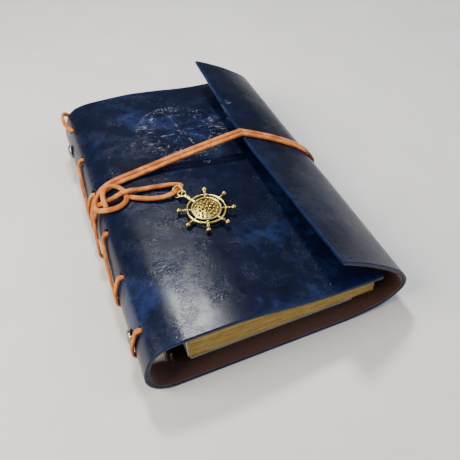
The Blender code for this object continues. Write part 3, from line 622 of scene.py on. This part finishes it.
def wrapSheet(
    name, first, last, depth, thick, materials, inset=0.0, freeStart=False, freeEnd=False
):
    # A flat grid bent round the section, given its thickness, then rounded along its cut edges.
    rows = list(range(first, last + 1))
    ys = [min(max(y, inset), wrap["length"] - inset) for y in columnYs]
    if inset:
        ys = sorted(set(ys))
    form = bmesh.new()
    wear = form.verts.layers.float.new("edgeWear")
    bmesh.ops.create_grid(form, x_segments=len(rows) - 1, y_segments=len(ys) - 1, size=0.5)
    for vert in form.verts:
        i = rows[round((vert.co.x + 0.5) * (len(rows) - 1))]
        y = ys[round((vert.co.y + 0.5) * (len(ys) - 1))]
        gap = min(y, wrap["length"] - y)
        if freeStart:
            gap = min(gap, arc[i] - arc[first])
        if freeEnd:
            gap = min(gap, arc[last] - arc[i])
        vert[wear] = math.exp(-gap / 1.1)
        vert.co = wrapPoint(i, y, depth)
    bmesh.ops.recalc_face_normals(form, faces=form.faces)
    spot = wrapPoint((first + last) // 2, middleY, depth)
    middle = min(form.faces, key=lambda face: (face.calc_center_median() - spot).length)
    outward = middle.calc_center_median() - Vector((64.0, middleY, 16.0))
    if middle.normal.dot(outward) < 0:
        bmesh.ops.reverse_faces(form, faces=form.faces)
    outside = set(form.faces)
    for face in outside:
        face.material_index = 0
    made = bmesh.ops.solidify(form, geom=form.faces[:], thickness=thick)
    for face in made["geom"]:
        if isinstance(face, bmesh.types.BMFace) and face not in outside:
            face.material_index = len(materials) - 1
    ends = {0.0 + inset, wrap["length"] - inset}
    rounded = []
    for edge in form.edges:
        if len(edge.link_faces) != 2 or edge.calc_face_angle(0.0) < 1.0:
            continue
        a, b = edge.verts
        onEnd = any(abs(a.co.y - y) < 0.02 and abs(b.co.y - y) < 0.02 for y in ends)
        seam = False
        if not onEnd:
            for index, free in ((first, freeStart), (last, freeEnd)):
                spot = wrapPoint(index, a.co.y, depth + thick / 2)
                if (spot - a.co).length < thick and not free:
                    seam = True
        if not seam:
            rounded.append(edge)
    bmesh.ops.bevel(
        form, geom=rounded, offset=min(wrap["edgeRound"], thick * 0.4), offset_type="OFFSET",
        affect="EDGES", segments=3, profile=0.5, material=-1, clamp_overlap=True,
    )
    return finishPiece(name, form, materials, 50, normals=False)


def sectionAt(height):
    i = min(range(shoulder, heel + 1), key=lambda k: abs(wrapLine[k].y - height))
    return wrapLine[i], -inward[i]


holePitch = 30.7
holeYs = [middleY + holePitch * (k - 2.5) for k in range(6)]
laceHoles = {"front": sectionAt(27.5), "back": sectionAt(9.8)}

print("wrap")
last = len(wrapLine) - 1
outer = (0.0, wrap["thick"], [leather, leatherEdge])
inner = (wrap["liningAt"], wrap["liningThick"], [liningCloth], wrap["liningInset"])
frontWrap = wrapSheet("frontWrap", 0, spineSplit, *outer, freeStart=True)
heelWrap = wrapSheet("heelWrap", spineSplit, backSplit, *outer)
backWrap = wrapSheet("backWrap", backSplit, last, *outer, freeEnd=True)
boreLaceHoles(frontWrap, "front")
boreLaceHoles(heelWrap, "back")
frontLining = wrapSheet("frontLining", 2, spineSplit, *inner, freeStart=True)
heelLining = wrapSheet("heelLining", spineSplit, backSplit, *inner)
backLining = wrapSheet("backLining", backSplit, last - 1, *inner, freeEnd=True)
boreLaceHoles(frontLining, "front")
boreLaceHoles(heelLining, "back")
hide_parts("front_cover", "spine_cover")
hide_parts("back_cover", "flap")
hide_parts("front_lining", "spine_lining")
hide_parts("back_lining", "flap_lining")


def bendWith(piece):
    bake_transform(piece)


for bend, pieces in (
    ("shoulder", (frontWrap, frontLining)),
    ("heel", (heelWrap, heelLining)),
    ("fold", (backWrap, backLining)),
):
    for piece in pieces:
        bendWith(piece)

# Flat suede lace; lift is how far its middle runs above the leather.
lace = {"width": 2.6, "thick": 1.5, "sides": 14, "spans": 6, "lift": 1.05}


def ribbon(name, route, sides):
    # A flat band swept along a route; sides gives the way its face looks at each route point.
    line = smoothLine(route, lace["spans"])
    looks = smoothLine(sides, lace["spans"])
    form = bmesh.new()
    bmesh.ops.create_circle(form, cap_ends=True, segments=lace["sides"], radius=1.0)
    for vert in form.verts:  # a rounded oblong, flatter than an ellipse
        for axis, size in ((0, lace["width"] / 2), (1, lace["thick"] / 2)):
            share = vert.co[axis]
            vert.co[axis] = math.copysign(abs(share) ** 0.55, share) * size
    poses = []
    for i, point in enumerate(line):
        along = (line[min(i + 1, len(line) - 1)] - line[max(i - 1, 0)]).normalized()
        face = looks[i] - along * looks[i].dot(along)
        face.normalize()
        wide = along.cross(face)
        wide.negate()
        pose = Matrix((wide, face, along)).transposed().to_4x4()
        poses.append(Matrix.Translation(point) @ pose)
    bmesh.ops.transform(form, matrix=poses[0], verts=form.verts)
    edges = form.edges[:]
    for before, after in zip(poses, poses[1:]):
        made = bmesh.ops.extrude_edge_only(form, edges=edges)["geom"]
        verts = [g for g in made if isinstance(g, bmesh.types.BMVert)]
        edges = [g for g in made if isinstance(g, bmesh.types.BMEdge)]
        bmesh.ops.transform(form, matrix=after @ before.inverted(), verts=verts)
    bmesh.ops.edgeloop_fill(form, edges=edges)
    piece = finishPiece(name, form, [tanSuede], 60)
    return piece, [inFrame(p) for p in line]


def outOfSpine(hole, distance, y):
    at, out = hole
    return Vector((at.x + out.x * distance, y, at.y + out.y * distance))


def spineRun(name, startY, endY, startDepth=-2.8, bulge=0.0):
    # One stitch on the outside of the spine, from a front hole down to a back hole.
    frontHole, backHole = laceHoles["front"], laceHoles["back"]
    route, sides = [outOfSpine(frontHole, startDepth, startY)], [Vector((0, 0, 1))]
    if startDepth < 0:
        route.append(outOfSpine(frontHole, -0.2, startY))
        sides.append(Vector((0, 0, 1)))
    low, high = backHole[0].y + 2.0, frontHole[0].y - 1.4
    for k in range(6):
        height = high + (low - high) * k / 5
        at, out = sectionAt(height)
        share = easeStep((frontHole[0].y - 2.5 - at.y) / (frontHole[0].y - backHole[0].y - 5.0))
        y = startY + (endY - startY) * share
        lift = lace["lift"] + bulge
        route.append(Vector((at.x + out.x * lift, y, at.y + out.y * lift)))
        sides.append(Vector((out.x, 0.0, out.y)))
    route.append(outOfSpine(backHole, -0.2, endY))
    route.append(outOfSpine(backHole, -2.8, endY))
    sides += [Vector((0, 0, -1)), Vector((0, 0, -1))]
    piece, path = ribbon(name, route, sides)
    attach(piece, "spine")
    return piece, path


print("lace")
y1, y2, y3, y4, y5, y6 = holeYs
stitches = (
    ("laceStitch1", "lace_stitch_1", y1, y1, -2.8, 0.0),
    ("laceStitch2", "lace_stitch_2", y2, y2 - 1.0, -2.8, 0.0),
    ("laceDiagonal3", "lace_diagonal_3", y3 - 1.0, y2 + 1.0, -2.8, 0.0),
    ("laceStitch4", "lace_stitch_4", y4 - 1.0, y4 - 1.0, -2.8, 0.0),
    ("laceDiagonal5", "lace_diagonal_5", y5, y4 + 1.0, -2.8, 0.0),
    ("laceReturn3", "lace_return_3", 92.0, y3 + 1.0, 1.6, 0.7),
)
for name, node, startY, endY, depth, bulge in stitches:
    piece, path = spineRun(name, startY, endY, depth, bulge)
    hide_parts(node)

frontHole = laceHoles["front"]
headRoute = [
    outOfSpine(frontHole, distance, y)
    for distance, y in ((-2.8, y6), (0.4, y6 + 0.2), (3.0, y6 + 3.2), (4.0, y6 + 9.0),
                        (2.6, 186.4), (-1.0, 187.2), (-3.6, 183.8), (-4.0, 178.0))
]
headSides = [
    Vector(side)
    for side in ((0, 0, 1), (-0.3, 0, 1), (-1, -0.4, 0.6), (-1, 0, 0.7), (-1, 0.8, 0.6),
                 (0, 1, 0.1), (0.9, 0.5, -0.5), (1, 0, -0.6))
]
headLoop, path = ribbon("laceHeadLoop", headRoute, headSides)
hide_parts("lace_head_loop")
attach(headLoop, "spine")


def flapTop(x, y):
    # The height of the flap's outer face.
    line = [wrapPoint(i, y, 0.0) for i in range(fold, len(wrapLine))]
    for a, b in zip(line, line[1:]):
        if b.x <= x <= a.x:
            return a.z + (b.z - a.z) * (a.x - x) / (a.x - b.x)
    return line[-1].z


# The closure: two strands side by side round the book, crossing the flap and the underside.
strand = {
    "closureY": 108.4, "wrapY": 95.4, "pitch": 3.25, "holdX": 90.7, "middleX": 62.0, "underZ": 0.78,
}
up = Vector((0, 0, 1))
for letter, shift in (("a", 0.0), ("b", strand["pitch"])):
    top = strand["closureY"] + shift
    low = strand["wrapY"] + shift
    holdZ = flapTop(strand["holdX"], top) + 1.15
    # Over the front cover: from the shoulder, through the knot, and taut up to the flap's edge.
    route = [
        (6.1, low + 4.0, 31.1), (9.0, low + 4.8, 33.0), (13.0, low + 5.8, 34.3),
        (19.0, low + 7.0, 34.9), (27.0, low + 8.4, 34.9),
    ]
    for k in range(1, 6):
        share = k / 6
        start, end = Vector(route[4]), Vector((90.9, top, holdZ))
        route.append(start.lerp(end, share) + up * (0.5 * math.sin(math.pi * share)))
    route.append((90.9, top, holdZ))
    sides = [Vector((-0.75, 0, 0.65)), Vector((-0.5, 0, 0.85)), Vector((-0.2, 0, 1))] + [up] * 8
    piece, path = ribbon("closureFront" + letter.upper(), route, sides)
    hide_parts("closure_front_" + letter)
    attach(piece, "front")
    # Over the flap and round the fold to the middle of the underside.
    route, sides = [], []
    for x in (90.5, 94.0, 99.0, 105.0, 111.0, 117.0, 121.5):
        y = top + (strand["wrapY"] - strand["closureY"]) * (x - 90.7) / 37.7
        slope = (flapTop(x + 1.0, y) - flapTop(x - 0.8, y)) / 1.8
        route.append(Vector((x, y, flapTop(x, y) + 1.1)))
        sides.append(Vector((-slope, 0, 1)))
    for i in (fold + 2, fold - 2, fold - 5, fold - 9, fold - 13, fold - 17, fold - 21, fold - 26):
        at = wrapPoint(i, low, 0.0)
        out = -inward[i]
        height = max(strand["underZ"], at.z + out.y * 1.1)
        route.append(Vector((at.x + out.x * 1.1, low + 0.3, height)))
        sides.append(Vector((out.x, 0, out.y)))
    route.append((80.0, low, strand["underZ"]))
    route.append((strand["middleX"] - 0.4, low, strand["underZ"]))
    sides += [-up, -up]
    piece, path = ribbon("closureOver" + letter.upper(), route, sides)
    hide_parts("closure_flap_" + letter)
    bendWith(piece)
    # From the middle of the underside round the heel and up the spine to the shoulder.
    route = [(x, low, strand["underZ"]) for x in (strand["middleX"], 45.0, 30.0, 18.0)]
    sides = [-up] * 4
    for i in range(backSplit - 4, shoulder + 1, -3):
        at = wrapPoint(i, low, 0.0)
        out = -inward[i]
        height = at.z
        y = low + 6.0 * max(0.0, (height - 14) / 19.4) ** 2
        route.append(Vector((at.x + out.x * 1.1, y, max(strand["underZ"], at.z + out.y * 1.1))))
        sides.append(Vector((out.x, 0, out.y)))
    piece, path = ribbon("closureUnder" + letter.upper(), route, sides)
    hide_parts("closure_back_" + letter, "closure_spine_" + letter)
    bendWith(piece)

# The slip knot: a crescent bight under the strands that comes round into an eye over them.
bightRoute = [
    (9.5, 101.2, 33.9), (5.6, 99.0, 32.6), (3.2, 95.0, 31.2), (3.3, 90.6, 31.2), (6.0, 86.9, 33.2),
    (10.6, 84.8, 34.3), (15.0, 85.0, 34.7), (18.4, 87.6, 35.0), (19.2, 91.6, 35.8), (17.2, 95.6, 37.3),
    (13.6, 97.6, 38.1), (10.2, 96.4, 38.0), (8.1, 93.4, 37.2), (7.7, 90.4, 36.3), (7.9, 87.4, 34.3),
]
bightSides = [
    Vector(side)
    for side in (
        (-0.3, 0, 1), (-0.7, 0.2, 0.8), (-0.9, 0.1, 0.6), (-0.8, -0.2, 0.7), (-0.4, -0.5, 0.9),
        (-0.1, -0.6, 0.9), (0.1, -0.5, 0.9), (0.3, -0.3, 0.9), (0.3, 0, 0.95), (0.2, 0.3, 0.95),
        (0, 0.3, 0.95), (-0.3, 0.2, 0.95), (-0.5, 0, 0.9), (-0.5, 0, 0.9), (-0.5, 0.3, 0.9),
    )
]
bight, path = ribbon("knotBight", bightRoute, bightSides)
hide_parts("closure_knot")
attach(bight, "front")

# The ship's wheel: its eye, the way it points, how far it reaches from the eye, and its rings.
charm = {
    "eye": (45.3, 79.4, 36.0), "toward": (0.49, -0.87, -0.065), "eyeReach": 16.2, "ringRadius": 3.0,
    "ringWire": 0.45, "rimRadius": 9.5, "bossRadius": 7.2, "handleReach": 14.6,
}
eye = Vector(charm["eye"])
toward = Vector(charm["toward"]).normalized()
level = Vector((toward.x, toward.y, 0)).normalized()
across = Vector((-level.y, level.x, 0))
ringAt = eye - level * charm["ringRadius"]
pull = ringAt - level * 1.2
tailRoute = [
    (4.6, 92.6, 32.2), (8.2, 91.6, 34.0), (12.4, 90.9, 35.8), (17.0, 91.2, 37.1), (22.0, 92.0, 36.6),
    (27.2, 92.2, 35.3), (33.0, 91.6, 34.9), (39.0, 90.4, 35.0), (44.0, 89.0, 35.3), (47.0, 86.6, 35.7),
    (*(pull + across * 2.6).xy, 35.9), (*(pull - across * 2.4).xy, 35.9), (36.8, 81.8, 35.3),
    (31.6, 83.3, 34.9), (26.4, 85.8, 34.8), (21.8, 88.8, 34.7), (18.4, 91.6, 34.5),
]
tailSides = [
    Vector(side)
    for side in (
        (-0.6, 0, 0.8), *[(0, 0, 1)] * 7, (0.3, 0.3, 1), (0.5, 0.4, 0.9), (0.3, -0.4, 0.9),
        (-0.2, -0.5, 0.9), *[(0, 0, 1)] * 5,
    )
]
tail, path = ribbon("charmLoop", tailRoute, tailSides)
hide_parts("charm_loop")
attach(tail, "front")


def placeNew(form, matrix):
    # Moves what was added since the last call; a tag marks what is already in its place.
    made = [v for v in form.verts if not v.tag]
    bmesh.ops.transform(form, matrix=matrix, verts=made)
    for v in made:
        v.tag = True


def ringForm(form, radius, wire, matrix, segments=48, sides=12):
    made = bmesh.ops.create_circle(
        form, cap_ends=False, segments=sides, radius=wire,
        matrix=Matrix.Translation((radius, 0, 0)) @ Matrix.Rotation(math.pi / 2, 4, "X"),
    )["verts"]
    edges = list({e for v in made for e in v.link_edges})
    bmesh.ops.spin(
        form, geom=made + edges, cent=(0, 0, 0), axis=(0, 0, 1), angle=math.tau,
        steps=segments, use_merge=True,
    )
    placeNew(form, matrix)


def turnedForm(form, profile, matrix, steps=20):
    verts = [form.verts.new((r, 0, h)) for r, h in profile]
    edges = [form.edges.new(pair) for pair in zip(verts, verts[1:])]
    bmesh.ops.spin(
        form, geom=verts + edges, cent=(0, 0, 0), axis=(0, 0, 1), angle=math.tau,
        steps=steps, use_merge=True,
    )
    placeNew(form, matrix)


def charmWheel():
    form = bmesh.new()
    flat = Matrix.Identity(4)
    ringForm(form, charm["rimRadius"], 0.62, Matrix.Scale(1.3, 4, (0, 0, 1)), 72)
    ringForm(form, charm["bossRadius"], 0.55, Matrix.Translation((0, 0, 0.35)), 60, 10)
    handle = smoothLine(
        [(0.0, 14.8, 0), (0.9, 14.55, 0), (1.36, 13.9, 0), (1.3, 13.1, 0), (0.85, 12.4, 0),
         (0.65, 11.9, 0), (0.95, 11.45, 0), (0.65, 11.0, 0), (0.85, 10.4, 0), (0.55, 8.8, 0),
         (0.55, 7.0, 0), (0.0, 6.8, 0)], 3,
    )
    profile = [(max(0.0, p.x), p.y) for p in handle]
    profile[0] = (0.0, profile[0][1])
    for spoke in range(1, 8):
        swing = Matrix.Rotation(math.tau * spoke / 8, 4, "Z") @ Matrix.Rotation(math.pi / 2, 4, "Y")
        turnedForm(form, profile, swing, 16)
    # The neck and eye take the place of the eighth handle.
    neck = [(0.0, 14.3), (0.95, 14.1), (0.8, 12.6), (1.15, 11.4), (0.8, 10.4), (0.8, 7.0), (0.0, 6.8)]
    turnedForm(form, neck, Matrix.Rotation(math.pi / 2, 4, "Y"), 16)
    ringForm(form, 2.0, 0.6, Matrix.Translation((charm["eyeReach"], 0, 0)), 32, 10)
    # The openwork boss: a shallow dish with beads cast over it in rings.
    dish = [(0.0, 1.0), (2.6, 0.8), (5.0, 0.35), (7.0, -0.1), (7.0, -0.7), (4.0, -0.9), (0.0, -1.0)]
    turnedForm(form, dish, flat, 40)
    beads = random.Random(11)
    rows = ((1, 0.0, 1.05, 1.9), (6, 1.95, 0.72, 1.6), (11, 3.7, 0.7, 1.2), (16, 5.45, 0.66, 0.7))
    for count, radius, size, height in rows:
        for k in range(count):
            turn = math.tau * (k + beads.uniform(-0.12, 0.12)) / count
            bead = bmesh.ops.create_icosphere(
                form, subdivisions=2, radius=size * beads.uniform(0.88, 1.12)
            )["verts"]
            squeeze = Matrix.Diagonal((1.0, beads.uniform(0.75, 1.1), 0.8, 1.0))
            place = Matrix.Translation((radius * math.cos(turn), radius * math.sin(turn), height))
            bmesh.ops.transform(form, matrix=place @ Matrix.Rotation(turn, 4, "Z") @ squeeze, verts=bead)
            for v in bead:
                v.tag = True
    bmesh.ops.remove_doubles(form, verts=form.verts, dist=0.0005)
    bmesh.ops.transform(form, matrix=Matrix.Translation((-charm["eyeReach"], 0, 0)), verts=form.verts)
    turn = Matrix.Identity(3)
    turn.col[0] = -toward
    turn.col[1] = -across
    turn.col[2] = (-toward).cross(-across)
    if turn.col[2].z < 0:
        turn.col[1] = across
        turn.col[2] = (-toward).cross(across)
    bmesh.ops.transform(form, matrix=Matrix.Translation(eye) @ turn.to_4x4(), verts=form.verts)
    return finishPiece("shipsWheel", form, [brass], 45)


print("charm")
wheel = charmWheel()
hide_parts("charm_wheel")
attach(wheel, "charm")
form = bmesh.new()
tilt = math.radians(48)
ringUp = (across * math.cos(tilt) + up * math.sin(tilt)).normalized()
turn = Matrix((level, ringUp, level.cross(ringUp))).transposed().to_4x4()
ringForm(form, charm["ringRadius"], charm["ringWire"], Matrix.Translation(ringAt) @ turn, 56, 12)
jumpRing = finishPiece("jumpRing", form, [brass], 60)
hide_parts("jump_ring")
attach(jumpRing, "jump_ring")

# The leaves: their outline, and the six holes for the rings.
leaves = {
    "left": 21.85, "right": 116.85, "tail": 7.5, "head": 177.5, "ringHoleX": 26.4, "holeRadius": 2.7,
    "ringYs": (29.0, 48.0, 67.0, 118.0, 137.0, 156.0), "pitch": 0.4,
}


def leafStack(name, low, high, seed):
    # A stack of loose leaves, each a hair out of line with the next, bored for the rings.
    slack = random.Random(seed)
    count = round((high - low) / leaves["pitch"])
    thick = (high - low) / count
    form = bmesh.new()
    for k in range(count):
        x0, x1 = leaves["left"] + slack.uniform(0, 0.15), leaves["right"] - slack.uniform(0, 0.45)
        y0, y1 = leaves["tail"] + slack.uniform(0, 0.4), leaves["head"] - slack.uniform(0, 0.4)
        size = Vector((x1 - x0, y1 - y0, thick - 0.012))
        middle = Vector(((x0 + x1) / 2, (y0 + y1) / 2, low + thick * (k + 0.5)))
        place = Matrix.Translation(middle) @ Matrix.Diagonal((*size, 1.0))
        bmesh.ops.create_cube(form, size=1.0, matrix=place)
    piece = finishPiece(name, form, [paper], 30)
    form = bmesh.new()
    for y in leaves["ringYs"]:
        bmesh.ops.create_cone(
            form, cap_ends=True, segments=24, radius1=leaves["holeRadius"],
            radius2=leaves["holeRadius"], depth=60.0, matrix=Matrix.Translation((leaves["ringHoleX"], y, 14.0)),
        )
    rods = finishPiece(name + "Rods", form, [paper])
    cut = piece.modifiers.new("ringHoles", "BOOLEAN")
    cut.operation = "DIFFERENCE"
    cut.object = rods
    graph = bpy.context.evaluated_depsgraph_get()
    mesh = bpy.data.meshes.new_from_object(piece.evaluated_get(graph))
    piece.modifiers.clear()
    piece.data = mesh
    bpy.data.objects.remove(rods)
    return piece


print("leaves")
lowerLeaves = leafStack("lowerLeaves", 6.05, 14.37, 3)
upperLeaves = leafStack("upperLeaves", 14.68, 23.0, 4)
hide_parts("pages_lower")
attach(lowerLeaves, "leaves_lower")
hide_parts("pages_upper")
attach(upperLeaves, "leaves_upper")


def vinylEdge(name, low, high, body):
    # The frosted edge of a vinyl divider, turned up against the ring side of the leaves.
    form = bmesh.new()
    size = Vector((0.5, 171.0, high - low))
    place = Matrix.Translation((21.4, 92.5, (low + high) / 2)) @ Matrix.Diagonal((*size, 1.0))
    bmesh.ops.create_cube(form, size=1.0, matrix=place)
    bmesh.ops.bevel(
        form, geom=form.edges[:], offset=0.15, affect="EDGES", segments=2, profile=0.5, material=-1
    )
    piece = finishPiece(name, form, [whiteVinyl], 40)
    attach(piece, body)


vinylEdge("vinylEdgeLower", 8.6, 14.3, "leaves_lower")
vinylEdge("vinylEdgeUpper", 14.7, 22.2, "leaves_upper")


def rivet(name, node, y):
    # A domed cap with a rolled rim, set down on the leather.
    profile = [(0.0, -1.8), (1.2, -1.74), (2.4, -1.5), (3.3, -1.08), (3.95, -0.55), (4.2, -0.2),
               (4.15, 0.05),
               (3.9, 0.12), (1.5, 0.12), (1.5, 8.8), (2.6, 8.85), (2.6, 9.35), (2.0, 9.7), (0.0, 9.8)]
    form = bmesh.new()
    place = Matrix.Translation((0.0, y, 16.5)) @ Matrix.Rotation(math.pi / 2, 4, "Y")
    turnedForm(form, profile, place, 40)
    bmesh.ops.remove_doubles(form, verts=form.verts, dist=0.0005)
    piece = finishPiece(name, form, [nickel], 50)
    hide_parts(node)
    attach(piece, "spine")


rivet("rivetTail", "rivet_tail", 21.0)
rivet("rivetHead", "rivet_head", 164.0)
for name, node in nodes.items():
    if node.hide_render:
        continue
    if name.startswith("ring_") or name == "zip_slider":
        node.data.materials.clear()
        node.data.materials.append(nickel)
    if name == "zip_pocket":
        node.data.materials.clear()
        node.data.materials.append(vinyl)

print("studio")
form = bmesh.new()
bmesh.ops.create_grid(form, x_segments=1, y_segments=1, size=2500.0)
# Background paper, rolled out: a pale, matt and nearly even grey.
studioPaper = simpleMaterial("paleStudioPaper", "#cccbc8", "#d4d3d0", 60.0, (0.75, 0.85))
floor = finishPiece("floor", form, [studioPaper], normals=False)
# Softboxes: where each stands, what it faces, its side in millimetres, its watts and tint.
lights = {
    "window": {
        "at": (96.0, 374.0, 602.0), "aim": (40.0, 40.0, 30.0), "size": 95.0, "power": 4.4,
        "tint": "#ffffff",
    },
    "leftFill": {
        "at": (-420.0, 40.0, 420.0), "aim": (60.0, 90.0, 20.0), "size": 420.0, "power": 7.0,
        "tint": "#fff6ea",
    },
    "rightFill": {
        "at": (520.0, -160.0, 420.0), "aim": (60.0, 90.0, 20.0), "size": 500.0, "power": 2.5,
        "tint": "#eef3ff",
    },
}
for name, facts in lights.items():
    light = bpy.data.lights.new(name, "AREA")
    light.shape = "SQUARE"
    light.size = facts["size"] * mm
    light.energy = facts["power"]
    light.color = toLinear(facts["tint"])[:3]
    lamp = bpy.data.objects.new(name, light)
    at, aim = inFrame(facts["at"]), inFrame(facts["aim"])
    lamp.matrix_world = Matrix.Translation(at) @ (aim - at).to_track_quat("-Z", "Y").to_matrix().to_4x4()
    bpy.context.scene.collection.objects.link(lamp)
world = bpy.data.worlds.new("studio")
bpy.context.scene.world = world
world.use_nodes = True
world.node_tree.nodes["Background"].inputs["Color"].default_value = toLinear("#dfe3ea")
world.node_tree.nodes["Background"].inputs["Strength"].default_value = 0.25
